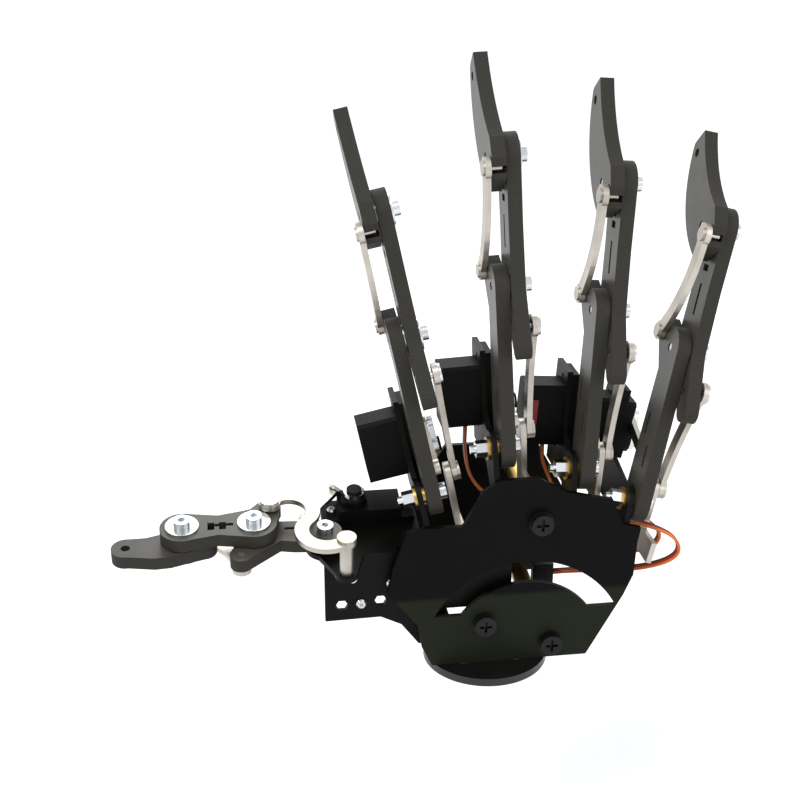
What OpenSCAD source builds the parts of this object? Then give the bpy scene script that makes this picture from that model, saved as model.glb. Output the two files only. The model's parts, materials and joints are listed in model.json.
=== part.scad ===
// Five digit robot hand driven by small servos through flat link plates.
// X runs from the thumb side to the little finger, Y to the back of the hand, Z up the palm.
// The wrist flange's lower face lies on Z = 0, and its centre is the origin.

/* [Fingers] */
// Knuckle pivot to middle pivot
proximal_length = 58; // [50:1:70]
// Middle pivot to tip pivot
middle_length = 44; // [38:1:54]
// Tip pivot to the hole near the finger's end
distal_length = 31; // [29:1:33]
// Thickness of the finger plates
plate_thickness = 5; // [4:0.5:6]
// Half width of the proximal plate
proximal_half = 7.5; // [7:0.25:8]
// Radius of the rounded finger end
tip_radius = 5; // [4:0.25:6]

/* [Thumb] */
// Thumb knuckle to its middle pivot
thumb_proximal = 25; // [24:1:32]
// Thumb middle pivot to its tip pivot
thumb_middle = 25; // [24:1:32]
// Thumb tip pivot to the hole near its end
thumb_distal = 20; // [17:1:28]

/* [Palm] */
// Thickness of the palm's sheet plates
sheet = 2; // [1.5:0.25:2.5]
// Distance from the knuckle axis to the front plate's back face
front_gap = 9; // [9:0.5:10]
// Distance from the knuckle axis to the back plate's front face
back_gap = 44; // [44:0.5:50]
// Radius of the wrist flange
flange_radius = 23; // [22.5:0.5:25]
// Thickness of the wrist flange
flange_thickness = 3; // [2.5:0.25:4]
// Diameter of the standoffs between the palm plates
standoff_diameter = 7; // [6:0.5:8]

/* [Fasteners] */
// Pivot screw diameter
pivot_diameter = 3; // [2.5:0.1:3.2]
// Palm screw diameter
palm_screw = 4; // [3.5:0.25:4.5]
// Circle that the wrist holes lie on
wrist_circle = 28; // [24:0.5:32]
// Diameter of the wrist holes
wrist_hole = 3.2; // [3:0.1:3.4]
// Number of wrist holes
wrist_holes = 4; // [3:1:6]
// Diameter of the flange's cable hole
cable_hole = 14; // [8:0.5:16]

/* [Servos] */
// Case length
servo_length = 22.8; // [22:0.1:23.5]
// Case width
servo_width = 12.2; // [11.8:0.1:12.4]
// Radius of the horn's arm
horn_radius = 9; // [8.75:0.25:10]

/* [Links] */
// Thickness of the steel links
link_thickness = 2; // [1.5:0.1:2.1]
// Width of the steel links
link_width = 5; // [4:0.25:5.5]
// Radial clearance of a running pivot
running = 0.05; // [0.03:0.01:0.08]

/* [Hidden] */
$fn = 48;
slack = 0.1;
pivot_r = pivot_diameter / 2;
washer_gap = 0.5;
middle_t = plate_thickness + washer_gap;
outer_t = middle_t + plate_thickness;
ear_gap = 1.2;
rivet_r = 1.25;
rivet_head_r = 3.4;
open_pivot_r = 2.6;
eye_r = 3.9;
head_r = 2.9;
head_height = 2.5;
nut_flat = 5.5;
lock_nut_height = 4;
washer_r = 5.8;
washer_height = 0.8;
brass_height = 1;
link_t = outer_t + 1;
anchor_t = link_t - link_thickness - 0.4;
rivet_end = link_t + link_thickness + slack;
rod_t = plate_thickness + 0.4;
rod_thickness = 2;
rod_pin_r = 1;
rod_eye_r = 2.75;
horn_t = rod_t + rod_thickness + 0.4;
horn_thickness = 2;
servo_case_t = plate_thickness + 0.1;
servo_tab_t = -ear_gap;
servo_depth = 22.7;
shaft_inset = 5.9;
tab_reach = 4.7;
tab_thickness = 2.5;
window_clearance = 0.2;
boss_r = 4.8;
foot_length = 5;
shaft_r = 2.4;

// One row for each finger: knuckle place across and up, fan angle, lean, tip bend, servo setback.
finger_names = ["index", "middle", "ring", "little"];
knuckle_x = [-23, 3, 32, 53];
knuckle_z = [67, 84, 74, 60];
fan = [-12, -2.5, 4, 13];
lean = [-7, -7, -7, -7];
tip_bend = [-24, -34, -30, -40];
servo_back = [20, 20, 20, 38];
servo_up = 9;
finger_arm_angle = 96;

// Pivots of the links, each from the finger joint that it lies beside: forward, then up the finger.
anchor_at = [-7, 3];
tail_at = [9, -13];
tail_end = [11, -20];
hook_at = [-9, 4];
keel_at = [5, -7];
back_arc_at = [27.5, 9.5];
back_arc = 39;
grip_arc_at = [66, 25];
grip_arc = 60;

thumb_knuckle = [-59, 0, 51];
thumb_tilt = 11;
thumb_bend = 8;
thumb_half = 6;
thumb_anchor_at = [16, -6];
thumb_tail_at = [-8, -6];
thumb_hook_at = [10, 5];
thumb_keel_at = [-7, -7];
thumb_servo_at = [-16, -12];
thumb_arm_angle = 140;

front_y = -front_gap - sheet;
back_y = back_gap;
plate_bottom = 3;
slot_centre = [12.5, 5.7];
slot_radius = 33.5;
slot_width = 8.6;
palm_screw_at = [[-2.6, 19.4], [22.2, 9.5], [17, 59]];
thumb_plate_y = -6.5;

// Shared helpers

function turned(p, a) = [p[0] * cos(a) + p[1] * sin(a), p[1] * cos(a) - p[0] * sin(a)];
function lean_of(d) = d < 4 ? lean[d] : 0;
function bend_of(d) = d < 4 ? tip_bend[d] : thumb_bend;
function reach(d) = d < 4 ? proximal_length : thumb_proximal;
function span_of(d) = d < 4 ? middle_length : thumb_middle;
function end_of(d) = d < 4 ? distal_length : thumb_distal;
function half_of(d) = d < 4 ? proximal_half : thumb_half;
function anchor_of(d) = d < 4 ? anchor_at : thumb_anchor_at;
function tail_of(d) = d < 4 ? tail_at : thumb_tail_at;
function hook_of(d) = [0, reach(d)] + (d < 4 ? hook_at : thumb_hook_at);
function keel_in(d) = d < 4 ? keel_at : thumb_keel_at;
function keel_of(d) = [0, reach(d) + span_of(d)] + turned(keel_in(d), bend_of(d));
function shaft_of(d) = d < 4 ? [-servo_back[d], servo_up] : thumb_servo_at;
function low_of(d) = d < 4 ? shaft_of(d)[1] - shaft_inset : shaft_of(d)[1] + shaft_inset - servo_length;
function lug_angle(d) = d < 4 ? finger_arm_angle : thumb_arm_angle;
function lug_of(d) = horn_radius * [cos(lug_angle(d)), sin(lug_angle(d))];
function arm_of(d) = turned(lug_of(d), lean_of(d));

// An outline turned over, its points still in counter-clockwise order
function turned_over(p) = [for (i = [len(p) - 1:-1:0]) [-p[i][0], p[i][1]]];

// Puts a digit's own frame in the hand: X across the plates, -Y forward, Z along the digit.
module place(d) {
    if (d < 4)
        translate([knuckle_x[d], 0, knuckle_z[d]]) rotate([0, fan[d], 0]) children();
    else
        translate(thumb_knuckle) rotate([thumb_tilt, 0, 0]) rotate([0, -90, 0]) children();
}

// The same frame, turned with the digit's plates
module swing(d) { place(d) rotate([lean_of(d), 0, 0]) children(); }

// Extrudes an outline drawn forward and up the digit, from one place across it.
module layer(from, thickness) {
    translate([from + thickness, 0, 0]) rotate([90, 0, -90]) linear_extrude(thickness) children();
}

module disc(at, r) { translate(at) circle(r); }

module hex(at, flat) { translate(at) circle(flat / sqrt(3), $fn = 6); }

// A flat link between two pivots, bowed to one side.
function link_line(p, q, bow, k) =
    p + (q - p) * k + [-(q - p)[1], (q - p)[0]] / norm(q - p) * bow * 4 * k * (1 - k);
function link_side(p, q, bow, k, w) =
    let (a = link_line(p, q, bow, k - 0.01), b = link_line(p, q, bow, k + 0.01))
    link_line(p, q, bow, k) + [-(b - a)[1], (b - a)[0]] / norm(b - a) * w;
module link_outline(p, q, bow, eye_p, eye_q) {
    steps = 10;
    polygon(concat([for (i = [0:steps]) link_side(p, q, bow, i / steps, -link_width / 2)],
        [for (i = [steps:-1:0]) link_side(p, q, bow, i / steps, link_width / 2)]));
    disc(p, eye_p);
    disc(q, eye_q);
}

// A flat link of two half rings, curled one way and then the other.
module curled_outline(p, q, eye_p, eye_q) {
    r = norm(q - p) / 4;
    half = r + link_width / 2;
    a = atan2((q - p)[1], (q - p)[0]);
    for (k = [0.25, 0.75]) translate(p + (q - p) * k) rotate(a) intersection() {
        difference() {
            circle(half);
            circle(r - link_width / 2);
        }
        translate([-half, k > 0.5 ? 0 : -half]) square([2 * half, half]);
    }
    disc(p, eye_p);
    disc(q, eye_q);
}

// Digit plates

module proximal(d) {
    up = reach(d);
    half = half_of(d);
    outline = [[-half, 0], [half, 0], [half - 1, up * 0.45], [half - 2, up - 9], [13.5, up + 3],
        [9, up + 9], [0, up + 4], [-proximal_half, up]];
    color("#3a3a36") swing(d) difference() {
        union() {
            layer(0, plate_thickness) difference() {
                union() {
                    disc([0, 0], half);
                    disc([0, up], proximal_half);
                    disc(hook_of(d), 4);
                    polygon(d < 4 ? turned_over(outline) : outline);
                    if (d == 4) disc(lug_of(d), 3.2);
                }
                disc([0, 0], pivot_r + running);
                disc([0, up], pivot_r + running);
                disc(hook_of(d), rivet_r + running);
                translate([2.4, up * 0.3]) square([1.3, up * 0.14], center = true);
                translate([-2.6, up * 0.5]) square([1.3, up * 0.14], center = true);
            }
            layer(plate_thickness, rod_thickness + 0.4) disc(lug_of(d), rod_pin_r);
        }
    }
}

module middle(d) {
    up = span_of(d);
    tail = tail_of(d);
    far = d < 4 ? tail_end : [-10, -6];
    waist = d < 4 ? 7.2 : 5.5;
    color("#3a3a36") swing(d) translate([0, 0, reach(d)])
        layer(middle_t, plate_thickness) difference() {
            union() {
                disc([0, 0], 8);
                disc([0, up], 7.8);
                disc(far, 4);
                polygon([[8, 0], [waist, up / 2], [7.8, up], [-7.8, up], [-waist, up / 2], [-8, 0]]);
                if (d < 4) polygon([[-8, 0], [far[0] - 3.6, far[1] - 1.6], [far[0] + 3.9, far[1] + 1], [8, 0]]);
                else polygon([[0, 8], [far[0] - 2, far[1] + 3.4], [far[0] + 2, far[1] - 3.4], [2, -7.7]]);
            }
            disc([0, 0], pivot_r);
            disc([0, up], pivot_r);
            disc(tail, rivet_r);
            translate([0, up * 0.42]) square([1.5, up * 0.26], center = true);
            for (w = [10, 14]) translate([0.5, up - w]) square([4, 2.4], center = true);
        }
}

module finger_tip_outline(up) {
    difference() {
        intersection() {
            disc(back_arc_at, back_arc);
            polygon([[-13, -4], [-8, -10], [4, -11], [9.5, -6], [11, 2], [11, up + 2], [7, up + 5],
                [0, up + 5], [-6, up + 3.5], [-14, up - 4]]);
        }
        disc(grip_arc_at, grip_arc);
    }
}

module thumb_tip_outline(up) {
    disc([0, 0], 7.6);
    disc([0, up], tip_radius);
    disc(thumb_keel_at, 4);
    disc([2, -7], 4.6);
    polygon([[7.2, -2], [8.4, up * 0.28], [8, up * 0.55], [tip_radius, up], [-tip_radius, up],
        [-4, up * 0.62], [-4.8, up * 0.34], [-7.5, 2], [-10.7, -6], [-6.5, -11], [2, -11.6], [6.4, -8]]);
}

module distal(d) {
    up = end_of(d);
    color("#3a3a36") swing(d) translate([0, 0, reach(d) + span_of(d)]) rotate([bend_of(d), 0, 0])
        layer(0, plate_thickness) difference() {
            if (d < 4) finger_tip_outline(up);
            else thumb_tip_outline(up);
            disc([0, 0], pivot_r + running);
            disc([0, up], 1.6);
            disc(keel_in(d), open_pivot_r);
        }
}

// Screws and washers that turn with the middle plate, and its link rivet.
module joint_screws(d) {
    color("#c9c9c6") swing(d) translate([0, 0, reach(d)]) {
        for (w = [0, span_of(d)]) {
            layer(outer_t, washer_height) disc([0, w], washer_r);
            layer(plate_thickness + slack / 2, washer_gap - slack / 2) disc([0, w], washer_r - 1);
            difference() {
                layer(outer_t, washer_height + head_height) disc([0, w], head_r);
                layer(outer_t + washer_height + 1, head_height) hex([0, w], 2.5);
            }
            layer(0.3, outer_t) disc([0, w], pivot_r);
        }
        layer(middle_t, rivet_end - middle_t) disc(tail_of(d), rivet_r);
        layer(rivet_end, 0.8) disc(tail_of(d), rivet_head_r);
    }
}

// Links

module palm_link(d) {
    p = anchor_of(d);
    q = turned([0, reach(d)] + tail_of(d), lean_of(d));
    color("#b9b5aa") place(d) layer(link_t, link_thickness) difference() {
        if (d < 4) link_outline(p, q, 2, 3.4, eye_r);
        else curled_outline(p, q, 3.4, eye_r);
        disc(p, rivet_r + running);
        disc(q, open_pivot_r);
    }
}

module tip_link(d) {
    p = hook_of(d);
    q = keel_of(d);
    bow = d < 4 ? -4 : 3;
    color("#b9b5aa") swing(d) {
        layer(-0.3 - link_thickness, link_thickness) link_outline(p, q, bow, 3.4, eye_r);
        for (e = [p, q]) layer(-0.3 - link_thickness - 0.7, 0.7) disc(e, 2.6);
        layer(-0.3, plate_thickness + 0.3) disc(p, rivet_r);
        layer(-0.3, plate_thickness - 1) disc(q, rivet_r);
    }
}

// Drive

module horn(d) {
    s = shaft_of(d);
    e = s + arm_of(d);
    color("#d8d8d4") place(d) {
        layer(horn_t, horn_thickness) difference() {
            union() {
                disc(s, 3.8);
                disc(e, 2.7);
                polygon([s + turned([2.8, 0], 90 - lug_angle(d) + lean_of(d)), e + turned([2.2, 0], 90 - lug_angle(d) + lean_of(d)),
                    e - turned([2.2, 0], 90 - lug_angle(d) + lean_of(d)), s - turned([2.8, 0], 90 - lug_angle(d) + lean_of(d))]);
            }
            disc(s, shaft_r + running);
        }
        layer(rod_t - 0.2, horn_t - rod_t + 0.2) disc(e, rod_pin_r);
    }
}

module rod(d) {
    p = arm_of(d);
    q = shaft_of(d) + arm_of(d);
    n = [-(q - p)[1], (q - p)[0]] / norm(q - p) * 2;
    color("#b9b5aa") place(d) layer(rod_t, rod_thickness) difference() {
        union() {
            disc(p, rod_eye_r);
            disc(q, rod_eye_r);
            polygon([p - n, q - n, q + n, p + n]);
        }
        disc(p, rod_pin_r + 4 * running);
        disc(q, rod_pin_r + running);
    }
}

module servo(d) {
    s = shaft_of(d);
    low = low_of(d);
    case_from = servo_case_t - servo_depth;
    color("#1c1c1e") place(d) {
        layer(case_from, servo_depth) difference() {
            translate([s[0] - servo_width / 2, low]) square([servo_width, servo_length]);
            for (x = [s[0] - servo_width / 2, s[0] + servo_width / 2])
                translate([x, low + servo_length]) rotate(45) square(1.6, center = true);
        }
        difference() {
            layer(servo_tab_t, tab_thickness) translate([s[0] - servo_width / 2, low - tab_reach])
                square([servo_width, servo_length + 2 * tab_reach]);
            layer(servo_tab_t - 1, tab_thickness + 2) servo_tab_holes(d);
        }
        layer(servo_case_t, horn_t - servo_case_t - 0.2) disc(s, boss_r);
        layer(horn_t - 0.2, horn_thickness + 0.2) disc(s, shaft_r);
        layer(horn_t + horn_thickness + slack, 0.9) disc(s, 2.8);
        layer(horn_t + horn_thickness, slack) disc(s, shaft_r);
    }
}
module servo_tab_holes(d) {
    s = shaft_of(d);
    low = low_of(d);
    for (w = [low - tab_reach / 2, low + servo_length + tab_reach / 2]) disc([s[0], w], 1);
}

// Palm

// One bracket carries a knuckle bolt in front and a servo behind.
module finger_brackets() {
    color("#26262a") for (d = [0:3]) place(d) {
        s = shaft_of(d);
        low = low_of(d);
        layer(-ear_gap - sheet, sheet) difference() {
            union() {
                disc([0, 0], 6.5);
                polygon([[6.5, 0], [-4, 5], [s[0] + 8, 9], [s[0] + 6, low + servo_length + tab_reach + 1],
                    [s[0] - 9, low + servo_length + tab_reach + 1], [s[0] - 9, -8], [-6, -8],
                    [front_gap - 3, -20], [front_gap, -20], [front_gap, -9]]);
            }
            disc([0, 0], pivot_r);
            translate([s[0] - servo_width / 2 - window_clearance, low - window_clearance])
                square([servo_width, servo_length] + [1, 1] * 2 * window_clearance);
            servo_tab_holes(d);
        }
        // Foot behind the front plate
        layer(-ear_gap - sheet - foot_length, foot_length) polygon([[front_gap - sheet, -20], [front_gap, -20],
            [front_gap, -13], [front_gap - sheet, -13]]);
    }
}

module front_outline() {
    polygon([[-21.7, plate_bottom], [36, plate_bottom], [49, 27], [52.3, 35], [53, 48], [54, 54], [47, 56],
        [43, 66], [34, 68], [26, 70], [16, 76], [2, 76], [-4, 72], [-11, 59], [-24, 59], [-31, 58],
        [-36, 44], [-38, 34], [-27, 20], [-25.5, 11]]);
}

module arched_slot() {
    intersection() {
        difference() {
            disc(slot_centre, slot_radius + slot_width / 2);
            disc(slot_centre, slot_radius - slot_width / 2);
        }
        translate([-30, 23]) square([80, 30]);
    }
}

module upright(y, thickness) { translate([0, y + thickness, 0]) rotate([90, 0, 0]) linear_extrude(thickness) children(); }

module front_plate() {
    color("#26262a") upright(front_y, sheet) difference() {
        front_outline();
        arched_slot();
        for (p = palm_screw_at) disc(p, palm_screw / 2 + running);
    }
}

module back_plate() {
    color("#26262a") upright(back_y, sheet) difference() {
        polygon([[-24, plate_bottom + 6], [-26, 40], [-8, 66], [28, 66], [40, 44], [34, plate_bottom + 6]]);
        for (p = palm_screw_at) disc(p, palm_screw / 2 + running);
    }
}

module wrist_flange() {
    color("#303034") difference() {
        cylinder(h = flange_thickness, r = flange_radius, $fn = 96);
        translate([0, 0, -1]) cylinder(h = flange_thickness + 2, r = cable_hole / 2);
        for (i = [0:wrist_holes - 1]) rotate(45 + i * 360 / wrist_holes)
            translate([wrist_circle / 2, 0, -1]) cylinder(h = flange_thickness + 2, r = wrist_hole / 2);
    }
}

// Angles stand on the flange and hold the two palm plates.
module wrist_angles() {
    foot = 10;
    rise = 16;
    color("#303034") for (x = [-20, 6]) {
        translate([x, -front_gap, flange_thickness]) cube([foot, sheet, rise]);
        translate([x, -front_gap, flange_thickness]) cube([foot, front_gap + back_gap, sheet]);
        translate([x, back_gap - sheet, flange_thickness]) cube([foot, sheet, rise]);
    }
}

module palm_standoffs() {
    color("#c9a24a") for (p = palm_screw_at) translate([p[0], 0, p[1]]) rotate([90, 0, 0])
        difference() {
            translate([0, 0, -back_gap]) cylinder(h = back_gap + front_gap, r = standoff_diameter / 2);
            translate([0, 0, front_gap - 8]) cylinder(h = 9, r = palm_screw / 2);
            translate([0, 0, -back_gap - 1]) cylinder(h = 9, r = palm_screw / 2);
        }
}

module palm_screws() {
    color("#1a1a1c") for (p = palm_screw_at) {
        for (side = [0, 1]) translate([p[0], side == 0 ? front_y : back_y + sheet, p[1]])
            rotate([side == 0 ? 90 : -90, 0, 0]) difference() {
                union() {
                    cylinder(h = 1, r = 4.4);
                    translate([0, 0, 1]) cylinder(h = 2.4, r = 4);
                    translate([0, 0, -sheet - 6]) cylinder(h = sheet + 6.5, r = palm_screw / 2);
                }
                for (a = [0, 90]) rotate(a) translate([-2.2, -0.5, 2]) cube([4.4, 1, 3]);
            }
    }
}

// Knuckle bolts with their lock nuts
module knuckle_bolts() {
    color("#c9c9c6") for (d = [0:4]) place(d) difference() {
        union() {
            layer(plate_thickness + slack, head_height) disc([0, 0], head_r);
            layer(-10, plate_thickness + 10.2) disc([0, 0], pivot_r);
            layer(-ear_gap - sheet - brass_height - lock_nut_height, lock_nut_height) hex([0, 0], nut_flat);
        }
        layer(plate_thickness + 1.2, head_height) hex([0, 0], 2.5);
    }
}

// Brass spacer and washer on each knuckle bolt
module knuckle_spacers() {
    color("#c9a24a") for (d = [0:4]) place(d) {
        layer(-ear_gap, ear_gap - slack) difference() { disc([0, 0], 3.2); disc([0, 0], pivot_r); }
        layer(-ear_gap - sheet - brass_height, brass_height) difference() {
            disc([0, 0], 4.2);
            disc([0, 0], pivot_r);
        }
    }
}

// A bent strip behind the front plate holds each palm link's lower pivot.
module link_anchors() {
    a = anchor_at;
    color("#b9b5aa") for (d = [0:3]) place(d) {
        layer(anchor_t, link_thickness) {
            disc(a, 4);
            polygon([[a[0] - 4, -20], [front_gap, -20], [front_gap, -12], [a[0] + 4, -12], [a[0] + 4, a[1]],
                [a[0] - 4, a[1]]]);
        }
        layer(anchor_t, rivet_end - anchor_t) disc(a, rivet_r);
        layer(rivet_end, 0.8) disc(a, rivet_head_r);
    }
    color("#b9b5aa") place(4) {
        layer(-ear_gap, anchor_t + link_thickness + ear_gap) disc(thumb_anchor_at, 2.4);
        layer(anchor_t, rivet_end - anchor_t) disc(thumb_anchor_at, rivet_r);
        layer(rivet_end, 0.8) disc(thumb_anchor_at, rivet_head_r);
    }
}

// Shelf under the thumb with its servo, and the plate that carries it to the palm
module thumb_bracket() {
    s = shaft_of(4);
    low = low_of(4);
    color("#26262a") {
        place(4) layer(-ear_gap - sheet, sheet) difference() {
            union() {
                disc([0, 0], 7);
                polygon([[7, 0], [-7, 0], [s[0] - 9, low + servo_length + 6], [s[0] - 9, low - 6],
                    [4, low - 6], [4, -25], [7, -25]]);
                disc(thumb_anchor_at, 4);
                polygon([[4, -14], thumb_anchor_at + [0, -4], thumb_anchor_at + [0, 4], [4, 4]]);
            }
            disc([0, 0], pivot_r);
            translate([s[0] - servo_width / 2 - window_clearance, low - window_clearance])
                square([servo_width, servo_length] + [1, 1] * 2 * window_clearance);
            servo_tab_holes(4);
        }
        upright(thumb_plate_y, sheet) difference() {
            polygon([[-60, 22], [-40, 22.4], [-32.4, 18.6], [-26, 10], [-16, 10], [-16, 24], [8, 24],
                [8, 43], [-14, 43], [-28, 47.6], [-60, 47.6]]);
            for (p = [[-54, 28], [-40, 29]]) hex(p, 4);
            disc([-47, 28.5], 1.6);
        }
        // Blocks between this plate and the front plate
        for (p = [[-27, 20], [-26, 40]]) translate([p[0], front_y + sheet, p[1]])
            cube([5, thumb_plate_y - front_y - sheet, 5]);
    }
}

// Leads

// Rings along a lead, swept by the direction from point to point
function lead_points(c) = concat([c[0]], [for (i = [1:len(c) - 2]) for (k = [0:2])
    let (u = k / 3) (1 - u) * (1 - u) * (c[i - 1] + c[i]) / 2 + 2 * u * (1 - u) * c[i]
        + u * u * (c[i] + c[i + 1]) / 2], [(c[len(c) - 2] + c[len(c) - 1]) / 2, c[len(c) - 1]]);
function unit(v) = v / norm(v);
function lead_dir(p, i) = unit(p[min(i + 1, len(p) - 1)] - p[max(i - 1, 0)]);
function lead_ring(p, i, r) =
    let (t = lead_dir(p, i), s = unit(cross(t, [0, 1, 0])), n = cross(s, t))
    [for (k = [0:7]) p[i] + r * (cos(k * 45) * s + sin(k * 45) * n)];
module lead(route, r) {
    p = lead_points(route);
    n = len(p);
    polyhedron(points = [for (i = [0:n - 1]) each lead_ring(p, i, r)],
        faces = concat([[for (k = [7:-1:0]) k]], [[for (k = [0:7]) (n - 1) * 8 + k]],
            [for (i = [0:n - 2]) for (k = [0:7])
                [i * 8 + k, i * 8 + (k + 1) % 8, (i + 1) * 8 + (k + 1) % 8, (i + 1) * 8 + k]]));
}

lead_r = 1.6;
lead_routes = [
    [[24, 20, 77], [24, 19, 68], [30, 18, 55], [45, 10, 49.5], [61, -1, 49.8], [71, -4, 45], [72, -2, 36],
        [60, 4, 29], [44, 11, 26], [36, 15, 24], [29, 15, 24]],
    [[46, 38, 64], [45, 36, 56], [46, 29, 47], [60, 16, 46], [70, 10, 41], [66, 11, 33], [54, 17, 30],
        [44, 24, 28], [30, 24, 28]],
    [[-5, 20, 86], [-5, 22, 74], [-2, 26, 60], [8, 28, 49], [26, 28, 46], [46, 26, 45], [61, 22, 44],
        [64, 20, 37], [54, 26, 31], [42, 33, 33], [28, 33, 33]],
];
module servo_leads() { color("#c4551e") for (r = lead_routes) lead(r, lead_r); }

module lead_plugs() {
    color("#1a1a1c") for (r = lead_routes) translate(r[len(r) - 1] - [4 + slack, 0, 0]) cube([8, 3, 8], center = true);
}

front_plate();
back_plate();
wrist_flange();
wrist_angles();
palm_standoffs();
palm_screws();
servo(0);  // servo_index
servo(1);  // servo_middle
servo(2);  // servo_ring
servo(3);  // servo_little
servo(4);  // servo_thumb
finger_brackets();
knuckle_bolts();
knuckle_spacers();
link_anchors();
thumb_bracket();
servo_leads();
lead_plugs();
proximal(0);  // index_proximal
middle(0);  // index_middle
distal(0);  // index_distal
palm_link(0);  // index_palm_link
tip_link(0);  // index_tip_link
joint_screws(0);  // index_screws
horn(0);  // index_horn
rod(0);  // index_rod
proximal(1);  // middle_proximal
middle(1);  // middle_middle
distal(1);  // middle_distal
palm_link(1);  // middle_palm_link
tip_link(1);  // middle_tip_link
joint_screws(1);  // middle_screws
horn(1);  // middle_horn
rod(1);  // middle_rod
proximal(2);  // ring_proximal
middle(2);  // ring_middle
distal(2);  // ring_distal
palm_link(2);  // ring_palm_link
tip_link(2);  // ring_tip_link
joint_screws(2);  // ring_screws
horn(2);  // ring_horn
rod(2);  // ring_rod
proximal(3);  // little_proximal
middle(3);  // little_middle
distal(3);  // little_distal
palm_link(3);  // little_palm_link
tip_link(3);  // little_tip_link
joint_screws(3);  // little_screws
horn(3);  // little_horn
rod(3);  // little_rod
proximal(4);  // thumb_proximal_plate
middle(4);  // thumb_middle_plate
distal(4);  // thumb_distal_plate
palm_link(4);  // thumb_palm_link
tip_link(4);  // thumb_tip_link
joint_screws(4);  // thumb_screws
horn(4);  // thumb_horn
rod(4);  // thumb_rod
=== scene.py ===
import json
import math
import bpy
import bmesh
from mathutils import Matrix, Vector


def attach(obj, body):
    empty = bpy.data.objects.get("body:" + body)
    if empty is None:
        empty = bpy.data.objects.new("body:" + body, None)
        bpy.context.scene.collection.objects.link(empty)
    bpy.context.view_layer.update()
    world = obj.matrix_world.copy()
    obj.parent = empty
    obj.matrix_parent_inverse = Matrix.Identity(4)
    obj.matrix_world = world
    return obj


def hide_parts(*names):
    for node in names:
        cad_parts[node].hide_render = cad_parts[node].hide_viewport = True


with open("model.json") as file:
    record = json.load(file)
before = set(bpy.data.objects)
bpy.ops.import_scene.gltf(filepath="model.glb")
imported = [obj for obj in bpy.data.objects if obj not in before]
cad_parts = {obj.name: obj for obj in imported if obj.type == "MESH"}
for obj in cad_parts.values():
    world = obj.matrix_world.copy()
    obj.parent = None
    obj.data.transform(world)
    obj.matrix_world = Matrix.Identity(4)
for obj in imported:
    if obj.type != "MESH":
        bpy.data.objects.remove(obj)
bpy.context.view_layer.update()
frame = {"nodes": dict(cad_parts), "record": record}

mm = 0.001
# Where each digit's knuckle is in millimetres, its fan angle about Y and tilt about X in degrees,
# and its servo case as (forward, low end) in the digit's own frame: the values of the CAD.
digits = {
    "index": {"at": (-23, 0, 67), "fan": -12, "servo": (-20, 3.1)},
    "middle": {"at": (3, 0, 84), "fan": -2.5, "servo": (-20, 3.1)},
    "ring": {"at": (32, 0, 74), "fan": 4, "servo": (-20, 3.1)},
    "little": {"at": (53, 0, 60), "fan": 13, "servo": (-38, 3.1)},
    "thumb": {"at": (-59, 0, 51), "fan": -90, "tilt": 11, "servo": (-16, -28.9)},
}

view = {"lens": 62.6, "sensor": 36, "place": (-0.094, -0.441, 0.284), "aim": (-0.032, 0.0, 0.104)}

# Lamps as (place, size in metres, power in watts), all aimed at one point of the hand.
lamps = {
    "keyLight": ((-0.5, -0.5, 0.9), 0.6, 7),
    "fillLight": ((0.7, -0.5, 0.4), 0.8, 2.8),
    "rimLight": ((0.1, 0.7, 0.7), 0.6, 3.5),
}
lampAim = Vector((0, 0, 0.09))

# Studio floor in metres, its glow under the hand and far from it, and the light of the world.
studio = {"height": -0.12, "reach": 6, "colour": (0.85, 0.85, 0.85, 1), "nearGlow": 0.2,
    "farGlow": 0.7, "farAway": 0.8, "worldColour": (0.9, 0.93, 1.0, 1), "worldLight": 0.4,
    "worldGlow": 0.64}

# Routes of the servo leads in millimetres, those of the CAD's plain tubes.
leads = {
    "ringLead": [(24, 20, 77), (24, 19, 68), (30, 18, 55), (45, 10, 49.5), (61, -1, 49.8),
        (71, -4, 45), (72, -2, 36), (60, 4, 29), (44, 11, 26), (36, 15, 24), (29, 15, 24)],
    "littleLead": [(46, 38, 64), (45, 36, 56), (46, 29, 47), (60, 16, 46), (70, 10, 41),
        (66, 11, 33), (54, 17, 30), (44, 24, 28), (30, 24, 28)],
    "middleLead": [(-5, 20, 86), (-5, 22, 74), (-2, 26, 60), (8, 28, 49), (26, 28, 46),
        (46, 26, 45), (61, 22, 44), (64, 20, 37), (54, 26, 31), (42, 33, 33), (28, 33, 33)],
}

# One wire of a lead: sizes in millimetres, and the numbers of its mesh.
wire = {"radius": 0.55, "apart": 1.2, "sides": 12, "bendSteps": 6}

# Plain paper label, a thin sheet on the front of the ring finger's servo: (low, high) in
# millimetres.
label = {"digit": "ring", "across": (-17.4, -12.8), "up": (10.5, 20.5), "forward": (-13.9, -13.82)}

# Small pan heads: how far the servo tab's face and holes are from the case, and the thumb plate's
# holes as (x, z), in millimetres.
screws = {"headRadius": 1.7, "headHeight": 1.2, "slotWidth": 0.45, "sides": 24, "seed": 11,
    "servoLength": 22.8, "tabHole": 2.35, "tabFace": 1.3, "plateHeadRadius": 1.9, "plateFace": -6.5,
    "plateHoles": ((-50, 39), (-36, 36), (-47, 28.5))}


def digitFrame(name):
    digit = digits[name]
    turn = Matrix.Rotation(math.radians(digit["fan"]), 4, "Y")
    tilt = Matrix.Rotation(math.radians(digit.get("tilt", 0)), 4, "X")
    return Matrix.Translation(Vector(digit["at"]) * mm) @ tilt @ turn


# Point in a digit's own frame, given in millimetres.
def inDigit(name, across, forward, up):
    return digitFrame(name) @ Vector((across * mm, -forward * mm, up * mm))


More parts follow.
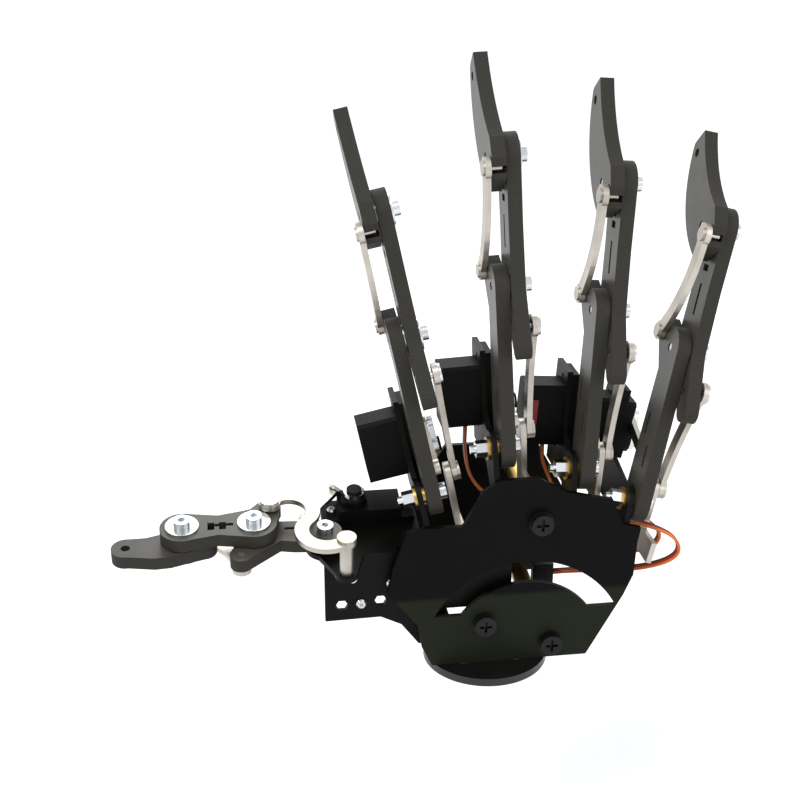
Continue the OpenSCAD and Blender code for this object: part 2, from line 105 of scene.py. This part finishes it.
# sRGB hex colour as the linear colour that shaders take.
def linear(hexColour):
    parts = [int(hexColour[i:i + 2], 16) / 255 for i in (1, 3, 5)]
    return [c / 12.92 if c <= 0.04045 else ((c + 0.055) / 1.055) ** 2.4 for c in parts] + [1.0]


# Camera and light

def setCamera():
    data = bpy.data.cameras.new("handCamera")
    camera = bpy.data.objects.new("handCamera", data)
    bpy.context.collection.objects.link(camera)
    data.lens = view["lens"]
    data.sensor_width = view["sensor"]
    data.clip_end = 20
    place = Vector(view["place"])
    camera.location = place
    camera.rotation_euler = (Vector(view["aim"]) - place).to_track_quat("-Z", "Y").to_euler()
    bpy.context.scene.camera = camera


def areaLight(name, place, size, power):
    data = bpy.data.lights.new(name, "AREA")
    data.size = size
    data.energy = power
    light = bpy.data.objects.new(name, data)
    light.location = place
    light.rotation_euler = (lampAim - Vector(place)).to_track_quat("-Z", "Y").to_euler()
    bpy.context.collection.objects.link(light)


# Material kit

# Adds one node: settings are its attributes, inputs its fixed values, feeds its linked sockets.
def addNode(tree, kind, settings=None, inputs=None, feeds=None):
    node = tree.nodes.new(kind)
    for key, value in (settings or {}).items():
        setattr(node, key, value)
    for key, value in (inputs or {}).items():
        node.inputs[key].default_value = value
    for key, socket in (feeds or {}).items():
        tree.links.new(socket, node.inputs[key])
    return node


def startMaterial(name, metallic=0.0):
    material = bpy.data.materials.new(name)
    material.use_nodes = True
    tree = material.node_tree
    surface = tree.nodes["Principled BSDF"]
    surface.inputs["Metallic"].default_value = metallic
    coords = addNode(tree, "ShaderNodeTexCoord")
    return material, tree, surface, coords


# Colour ramp: stops are (place, linear colour).
def ramp(tree, feed, stops):
    node = addNode(tree, "ShaderNodeValToRGB", feeds={"Fac": feed})
    while len(node.color_ramp.elements) < len(stops):
        node.color_ramp.elements.new(0.5)
    for element, (place, colour) in zip(node.color_ramp.elements, stops):
        element.position = place
        element.color = colour
    return node.outputs["Color"]


# Black glass-fibre laminate, sawn from sheet: satin faces, painted a mid grey that is partly the
# laminate's own tone and partly painted reflection of the white surroundings, and matte olive edges
# where the fibres end in pale specks, which tells the eye that the fingers are cut plates.
def laminate(name, across):
    material, tree, surface, coords = startMaterial(name)
    axis = addNode(tree, "ShaderNodeVectorMath", {"operation": "DOT_PRODUCT"}, {1: across},
        {0: coords.outputs["Normal"]})
    flat = addNode(tree, "ShaderNodeMath", {"operation": "ABSOLUTE"},
        feeds={0: axis.outputs["Value"]})
    face = addNode(tree, "ShaderNodeMath", {"operation": "GREATER_THAN"}, {1: 0.9},
        {0: flat.outputs["Value"]})
    specks = addNode(tree, "ShaderNodeTexNoise", inputs={"Scale": 2600.0, "Detail": 3.0},
        feeds={"Vector": coords.outputs["Object"]})
    cloud = addNode(tree, "ShaderNodeTexNoise", inputs={"Scale": 90.0, "Detail": 2.0},
        feeds={"Vector": coords.outputs["Object"]})
    edge = ramp(tree, specks.outputs["Fac"], [(0.35, linear("#15130c")), (0.62, linear("#201d14")),
        (0.8, linear("#3d392d"))])
    # Painted reflection: the faces' grey is lighter than the black laminate. It partly stands in
    # for the white surroundings that the satin faces mirror.
    faceToneWithPaintedReflection = ramp(tree, cloud.outputs["Fac"], [(0.3, linear("#3d3b34")), (0.7, linear("#4d4a41"))])
    colour = addNode(tree, "ShaderNodeMix", {"data_type": "RGBA"}, feeds={0: face.outputs["Value"],
        6: edge, 7: faceToneWithPaintedReflection})
    rough = addNode(tree, "ShaderNodeMapRange", inputs={"To Min": 0.75, "To Max": 0.38},
        feeds={"Value": face.outputs["Value"]})
    bump = addNode(tree, "ShaderNodeBump", inputs={"Strength": 0.35, "Distance": 0.0001},
        feeds={"Height": specks.outputs["Fac"]})
    tree.links.new(colour.outputs[2], surface.inputs["Base Color"])
    tree.links.new(rough.outputs["Result"], surface.inputs["Roughness"])
    tree.links.new(bump.outputs["Normal"], surface.inputs["Normal"])
    return material


# Shared recipe: two close tones, and a grain in the gloss and the surface. Grain is in grains per
# metre, so 2000 is a grain of half a millimetre, and depth is in metres.
def speckledFinish(name, dark, light, roughness, grain, depth, metallic=0.0, stretch=(1, 1, 1),
        coat=0.0, shine=0.5):
    material, tree, surface, coords = startMaterial(name, metallic)
    surface.inputs["Specular IOR Level"].default_value = shine
    mapping = addNode(tree, "ShaderNodeMapping", inputs={"Scale": stretch},
        feeds={"Vector": coords.outputs["Object"]})
    noise = addNode(tree, "ShaderNodeTexNoise", inputs={"Scale": grain, "Detail": 4.0},
        feeds={"Vector": mapping.outputs["Vector"]})
    wide = addNode(tree, "ShaderNodeTexNoise", inputs={"Scale": grain * 0.06, "Detail": 2.0},
        feeds={"Vector": coords.outputs["Object"]})
    colour = ramp(tree, wide.outputs["Fac"], [(0.3, linear(dark)), (0.7, linear(light))])
    gloss = addNode(tree, "ShaderNodeMapRange", inputs={"To Min": roughness * 0.75,
        "To Max": min(1.0, roughness * 1.3)}, feeds={"Value": noise.outputs["Fac"]})
    bump = addNode(tree, "ShaderNodeBump", inputs={"Strength": 0.3, "Distance": depth},
        feeds={"Height": noise.outputs["Fac"]})
    surface.inputs["Coat Weight"].default_value = coat
    tree.links.new(colour, surface.inputs["Base Color"])
    tree.links.new(gloss.outputs["Result"], surface.inputs["Roughness"])
    tree.links.new(bump.outputs["Normal"], surface.inputs["Normal"])
    return material


# Black anodised aluminium sheet: dyed oxide over a fine rolled grain, a deep satin black.
def anodisedSheet():
    return speckledFinish("anodisedSheet", "#030302", "#070705", roughness=0.45,
        grain=2200.0, depth=0.00003, stretch=(1, 1, 6), shine=0.12)


# The palm's front sheet: the same black oxide, with its lower part painted a dull olive as a
# painted reflection of the light that the sheet catches below its crease, so that the eye reads two
# tones in one plate.
def frontSheetPaintedReflection():
    material = speckledFinish("frontSheetPaintedReflection", "#020202", "#050504", roughness=0.45,
        grain=2200.0, depth=0.00003, stretch=(1, 1, 6), shine=0.08)
    tree = material.node_tree
    surface = tree.nodes["Principled BSDF"]
    black = surface.inputs["Base Color"].links[0].from_socket
    coords = addNode(tree, "ShaderNodeTexCoord")
    place = addNode(tree, "ShaderNodeSeparateXYZ", feeds={"Vector": coords.outputs["Object"]})
    # Painted reflection: below about 30 mm up, the black is mixed to dull olive. This stands in for
    # light off the sheet below its crease.
    low = addNode(tree, "ShaderNodeMapRange", inputs={"From Min": 0.0315, "From Max": 0.0295},
        feeds={"Value": place.outputs["Z"]})
    colour = addNode(tree, "ShaderNodeMix", {"data_type": "RGBA"}, {7: linear("#1f2219")},
        {0: low.outputs["Result"], 6: black})
    tree.links.new(colour.outputs[2], surface.inputs["Base Color"])
    return material


# Black anodised flange, turned on a lathe: a little greyer and smoother than the sheet.
def turnedFlange():
    return speckledFinish("turnedFlange", "#080807", "#11110e", roughness=0.36,
        grain=1500.0, depth=0.00002)


# Stainless link, laser cut and tumbled: warm pale grey with a soft scratched sheen.
def tumbledSteel():
    return speckledFinish("tumbledSteel", "#a8a297", "#c4bfb5", roughness=0.36,
        grain=1400.0, depth=0.00003, metallic=1.0, stretch=(1, 1, 8))


# Zinc plated screws, washers and horns: bright and cool, with tiny ripples from the plating.
def brightZinc():
    return speckledFinish("brightZinc", "#b9bcbe", "#dcdedf", roughness=0.2,
        grain=900.0, depth=0.00002, metallic=1.0)


# Turned brass washers and standoffs: warm yellow, slightly dulled by handling.
def turnedBrass():
    return speckledFinish("turnedBrass", "#a9853f", "#d1b068", roughness=0.3,
        grain=1100.0, depth=0.00002, metallic=1.0)


# Black oxide on a steel pan head: a thin oiled skin with a dull highlight.
def blackOxideScrew():
    return speckledFinish("blackOxideScrew", "#0b0b0b", "#191919", roughness=0.38,
        grain=1600.0, depth=0.00002, metallic=0.6)


# Moulded black ABS of a micro servo: spark-eroded texture that breaks up the highlight.
def servoPlastic():
    return speckledFinish("servoPlastic", "#020202", "#050504", roughness=0.55,
        grain=2600.0, depth=0.00006, shine=0.12)


# Glossy moulded nylon of a lead's plug.
def plugPlastic():
    return speckledFinish("plugPlastic", "#070708", "#0f0f10", roughness=0.28,
        grain=1500.0, depth=0.00002, coat=0.2)


# Extruded PVC skin of one servo wire: soft sheen, with faint drag marks along it.
def leadSkin(name, dark, light):
    return speckledFinish(name, dark, light, roughness=0.42,
        grain=1700.0, depth=0.00002, coat=0.1)


# Plain red paper label on a servo's side, a little uneven where it is stuck.
def servoLabel():
    return speckledFinish("servoLabel", "#8f1218", "#b21c22", roughness=0.45,
        grain=700.0, depth=0.00003)


finishes = {"palm_sheet": anodisedSheet(), "flange_black": turnedFlange(),
    "link_steel": tumbledSteel(), "zinc": brightZinc(), "brass": turnedBrass(),
    "black_screws": blackOxideScrew(),
    "servo_black": servoPlastic(), "plug_black": plugPlastic(),
    "lead_silicone": leadSkin("orangeLead", "#d9641a", "#ee8230")}
slots = {part["node"]: part["material_slot"] for part in frame["record"]["subparts"]}


def finishNodes():
    fingerFinish = {}
    single = {"front_plate": frontSheetPaintedReflection()}
    for name in digits:
        across = digitFrame(name).to_3x3() @ Vector((1, 0, 0))
        fingerFinish[name] = laminate(name + "Laminate", across)
    for node, piece in frame["nodes"].items():
        digit = node.split("_")[0]
        slotName = slots[node]
        material = single.get(node, finishes.get(slotName))
        if slotName == "finger_laminate":
            material = fingerFinish[digit]
        piece.data.materials.clear()
        piece.data.materials.append(material)


# Pieces

def link(name, mesh, material, body):
    piece = bpy.data.objects.new(name, mesh)
    bpy.context.collection.objects.link(piece)
    mesh.materials.clear()
    mesh.materials.append(material)
    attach(piece, body)
    return piece


# The CAD tube's own curve: a quadratic bend at each point, through the middles of the stretches.
def smoothRoute(points):
    route = [points[0]]
    for before, here, after in zip(points, points[1:], points[2:]):
        start, end = (before + here) / 2, (here + after) / 2
        for step in range(wire["bendSteps"]):
            u = step / wire["bendSteps"]
            route.append(start * (1 - u) ** 2 + here * 2 * u * (1 - u) + end * u * u)
    return route + [(points[-2] + points[-1]) / 2, points[-1]]


# Directions across and out of the route at one of its points
def sideways(route, i):
    along = (route[min(i + 1, len(route) - 1)] - route[max(i - 1, 0)]).normalized()
    across = along.cross(Vector((0, 1, 0))).normalized()
    return across, across.cross(along)


# The centreline of one wire, beside the lead's own route.
def beside(route, aside):
    return [point + sideways(route, i)[1] * aside for i, point in enumerate(route)]


# One round wire on its centreline.
def wireMesh(name, route, radius):
    form = bmesh.new()
    rings = []
    sides = wire["sides"]
    for i, point in enumerate(route):
        across, out = sideways(route, i)
        rings.append([form.verts.new(point + radius * (math.cos(a) * across + math.sin(a) * out))
            for a in (2 * math.pi * k / sides for k in range(sides))])
    for low, high in zip(rings, rings[1:]):
        for k in range(sides):
            form.faces.new((low[k], low[(k + 1) % sides], high[(k + 1) % sides], high[k]))
    form.faces.new(rings[0][::-1])
    form.faces.new(rings[-1])
    bmesh.ops.recalc_face_normals(form, faces=form.faces)
    mesh = bpy.data.meshes.new(name)
    form.to_mesh(mesh)
    form.free()
    for face in mesh.polygons:
        face.use_smooth = True
    return mesh


def servoLeads():
    radius = wire["radius"] * mm
    wires = {"Signal": (-wire["apart"], finishes["lead_silicone"]),
        "Plus": (0.0, leadSkin("redLead", "#9c1712", "#c4261d")),
        "Ground": (wire["apart"], leadSkin("brownLead", "#3d2013", "#573020"))}
    for leadName, points in leads.items():
        route = smoothRoute([Vector(p) * mm for p in points])
        for wireName, (aside, material) in wires.items():
            line = beside(route, aside * mm)
            name = leadName + wireName
            strand = link(name, wireMesh(name, line, radius), material, "palm")
            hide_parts("servo_leads")


def redLabel():
    form = bmesh.new()
    corners = [form.verts.new(inDigit(label["digit"], a, f, u)) for a in label["across"]
        for f in label["forward"] for u in label["up"]]
    bmesh.ops.convex_hull(form, input=corners)
    bmesh.ops.recalc_face_normals(form, faces=form.faces)
    mesh = bpy.data.meshes.new("redLabel")
    form.to_mesh(mesh)
    form.free()
    link("redLabel", mesh, servoLabel(), "palm")


print("finishes")
finishNodes()
redLabel()
print("leads")
servoLeads()


# Repeated screws

# Pan head with a cross recess, put on every point along its own facing.
def screwTree():
    tree = bpy.data.node_groups.new("panScrews", "GeometryNodeTree")
    sockets = tree.interface
    sockets.new_socket(name="Geometry", in_out="INPUT", socket_type="NodeSocketGeometry")
    for title, size in (("Head Radius", "headRadius"), ("Head Height", "headHeight"),
            ("Slot Width", "slotWidth")):
        socket = sockets.new_socket(name=title, in_out="INPUT", socket_type="NodeSocketFloat")
        socket.default_value = screws[size] * mm
    seed = sockets.new_socket(name="Seed", in_out="INPUT", socket_type="NodeSocketInt")
    seed.default_value = screws["seed"]
    sockets.new_socket(name="Finish", in_out="INPUT", socket_type="NodeSocketMaterial")
    sockets.new_socket(name="Geometry", in_out="OUTPUT", socket_type="NodeSocketGeometry")
    given = addNode(tree, "NodeGroupInput").outputs
    half = addNode(tree, "ShaderNodeMath", {"operation": "MULTIPLY"}, {1: 0.5},
        {0: given["Head Height"]})
    rim = addNode(tree, "GeometryNodeMeshCylinder", inputs={"Vertices": screws["sides"]},
        feeds={"Radius": given["Head Radius"], "Depth": half.outputs[0]})
    small = addNode(tree, "ShaderNodeMath", {"operation": "MULTIPLY"}, {1: 0.72},
        {0: given["Head Radius"]})
    dome = addNode(tree, "GeometryNodeMeshCone", inputs={"Vertices": screws["sides"]},
        feeds={"Radius Bottom": given["Head Radius"], "Radius Top": small.outputs[0],
            "Depth": half.outputs[0]})
    quarter = addNode(tree, "ShaderNodeMath", {"operation": "MULTIPLY"}, {1: 0.25},
        {0: given["Head Height"]})
    rimUp = addNode(tree, "ShaderNodeCombineXYZ", feeds={"Z": quarter.outputs[0]})
    domeUp = addNode(tree, "ShaderNodeCombineXYZ", feeds={"Z": half.outputs[0]})
    rimPlace = addNode(tree, "GeometryNodeTransform", feeds={"Geometry": rim.outputs["Mesh"],
        "Translation": rimUp.outputs[0]})
    domePlace = addNode(tree, "GeometryNodeTransform", feeds={"Geometry": dome.outputs["Mesh"],
        "Translation": domeUp.outputs[0]})
    head = addNode(tree, "GeometryNodeMeshBoolean", {"operation": "UNION"})
    tree.links.new(rimPlace.outputs["Geometry"], head.inputs["Mesh 2"])
    tree.links.new(domePlace.outputs["Geometry"], head.inputs["Mesh 2"])
    cross = addNode(tree, "GeometryNodeMeshBoolean", {"operation": "DIFFERENCE"},
        feeds={"Mesh 1": head.outputs["Mesh"]})
    top = addNode(tree, "ShaderNodeCombineXYZ", feeds={"Z": given["Head Height"]})
    for across in (True, False):
        size = addNode(tree, "ShaderNodeCombineXYZ", feeds={
            "X" if across else "Y": given["Head Radius"],
            "Y" if across else "X": given["Slot Width"], "Z": given["Head Height"]})
        bar = addNode(tree, "GeometryNodeMeshCube", feeds={"Size": size.outputs[0]})
        barUp = addNode(tree, "GeometryNodeTransform", feeds={"Geometry": bar.outputs["Mesh"],
            "Translation": top.outputs[0]})
        tree.links.new(barUp.outputs["Geometry"], cross.inputs["Mesh 2"])
    facing = addNode(tree, "GeometryNodeInputNamedAttribute", {"data_type": "FLOAT_VECTOR"},
        {"Name": "facing"})
    upright = addNode(tree, "FunctionNodeAlignRotationToVector", {"axis": "Z"},
        feeds={"Vector": facing.outputs["Attribute"]})
    placed = addNode(tree, "GeometryNodeInstanceOnPoints", feeds={"Points": given["Geometry"],
        "Instance": cross.outputs["Mesh"], "Rotation": upright.outputs["Rotation"]})
    chance = addNode(tree, "FunctionNodeRandomValue", {"data_type": "FLOAT"},
        feeds={"Seed": given["Seed"]})
    chance.inputs[3].default_value = 3.14  # half a turn
    spin = addNode(tree, "ShaderNodeCombineXYZ", feeds={"Z": chance.outputs[1]})
    turned = addNode(tree, "GeometryNodeRotateInstances",
        feeds={"Instances": placed.outputs["Instances"], "Rotation": spin.outputs[0]})
    real = addNode(tree, "GeometryNodeRealizeInstances",
        feeds={"Geometry": turned.outputs["Instances"]})
    done = addNode(tree, "GeometryNodeSetMaterial", feeds={"Geometry": real.outputs["Geometry"],
        "Material": given["Finish"]})
    addNode(tree, "NodeGroupOutput", feeds={"Geometry": done.outputs["Geometry"]})
    return tree


# Grows the tree's screws on the given seats and returns them as a plain mesh.
def grow(name, tree, seats, values):
    cloud = bpy.data.meshes.new(name + "Seats")
    cloud.from_pydata([place for place, _ in seats], [], [])
    attribute = cloud.attributes.new("facing", "FLOAT_VECTOR", "POINT")
    for item, (place, facing) in zip(attribute.data, seats):
        item.vector = facing
    carrier = bpy.data.objects.new(name + "Seats", cloud)
    bpy.context.collection.objects.link(carrier)
    modifier = carrier.modifiers.new("grow", "NODES")
    modifier.node_group = tree
    for item in tree.interface.items_tree:
        if item.item_type == "SOCKET" and item.in_out == "INPUT" and item.name in values:
            modifier[item.identifier] = values[item.name]
    solid = carrier.evaluated_get(bpy.context.evaluated_depsgraph_get())
    mesh = bpy.data.meshes.new_from_object(solid)
    mesh.name = name
    carrier.modifiers.remove(modifier)
    bpy.data.objects.remove(carrier)
    return mesh


def smallScrews():
    tree = screwTree()
    seats = []
    for name, digit in digits.items():
        forward, low = digit["servo"]
        facing = (digitFrame(name).to_3x3() @ Vector((1, 0, 0))).normalized()
        for up in (low - screws["tabHole"], low + screws["servoLength"] + screws["tabHole"]):
            seats.append((inDigit(name, screws["tabFace"], forward, up), facing))
    mesh = grow("servoScrews", tree, seats, {"Finish": finishes["zinc"]})
    link("servoScrews", mesh, finishes["zinc"], "palm")
    plateSeats = [(Vector((x, screws["plateFace"], z)) * mm, Vector((0, -1, 0)))
        for x, z in screws["plateHoles"]]
    mesh = grow("plateScrews", tree, plateSeats,
        {"Finish": finishes["zinc"], "Head Radius": screws["plateHeadRadius"] * mm})
    link("plateScrews", mesh, finishes["zinc"], "palm")


print("small screws")
smallScrews()


# Stage

# The camera, metal and glass see the surface whiter by the glow socket's value; its shade stays.
def whiten(tree, surface, output, glow):
    path = addNode(tree, "ShaderNodeLightPath")
    direct = addNode(tree, "ShaderNodeMath", {"operation": "MAXIMUM"},
        feeds={0: path.outputs["Is Camera Ray"], 1: path.outputs["Is Glossy Ray"]})
    seen = addNode(tree, "ShaderNodeMath", {"operation": "MAXIMUM"},
        feeds={0: direct.outputs[0], 1: path.outputs["Is Transmission Ray"]})
    strength = addNode(tree, "ShaderNodeMath", {"operation": "MULTIPLY"},
        feeds={0: seen.outputs[0], 1: glow})
    white = addNode(tree, "ShaderNodeEmission", inputs={"Color": (1, 1, 1, 1)},
        feeds={"Strength": strength.outputs[0]})
    both = addNode(tree, "ShaderNodeAddShader", feeds={0: surface, 1: white.outputs["Emission"]})
    tree.links.new(both.outputs["Shader"], output)


# The glow rises away from the hand, where the lamps fade, so that the floor stays white but for
# the hand's shadow.
def paleFloor():
    reach, height = studio["reach"], studio["height"]
    mesh = bpy.data.meshes.new("floor")
    corners = [(x * reach, y * reach, height) for x, y in ((-1, -1), (1, -1), (1, 1), (-1, 1))]
    mesh.from_pydata(corners, [], [(0, 1, 2, 3)])
    floor = bpy.data.objects.new("floor", mesh)
    bpy.context.collection.objects.link(floor)
    material, tree, surface, coords = startMaterial("paleFloor")
    surface.inputs["Roughness"].default_value = 0.7
    surface.inputs["Base Color"].default_value = studio["colour"]
    away = addNode(tree, "ShaderNodeVectorMath", {"operation": "LENGTH"},
        feeds={0: coords.outputs["Object"]})
    glow = addNode(tree, "ShaderNodeMapRange", inputs={"From Max": studio["farAway"],
        "To Min": studio["nearGlow"], "To Max": studio["farGlow"]},
        feeds={"Value": away.outputs["Value"]})
    whiten(tree, surface.outputs["BSDF"], tree.nodes["Material Output"].inputs["Surface"],
        glow.outputs["Result"])
    mesh.materials.append(material)


def softWorld():
    world = bpy.data.worlds.new("studio")
    bpy.context.scene.world = world
    world.use_nodes = True
    tree = world.node_tree
    soft = tree.nodes["Background"]
    soft.inputs["Color"].default_value = studio["worldColour"]
    soft.inputs["Strength"].default_value = studio["worldLight"]
    glow = addNode(tree, "ShaderNodeValue")
    glow.outputs[0].default_value = studio["worldGlow"]
    whiten(tree, soft.outputs["Background"], tree.nodes["World Output"].inputs["Surface"],
        glow.outputs[0])


print("stage")
setCamera()
paleFloor()
softWorld()
for name, (place, size, power) in lamps.items():
    areaLight(name, place, size, power)
bpy.context.scene.view_settings.view_transform = "Standard"
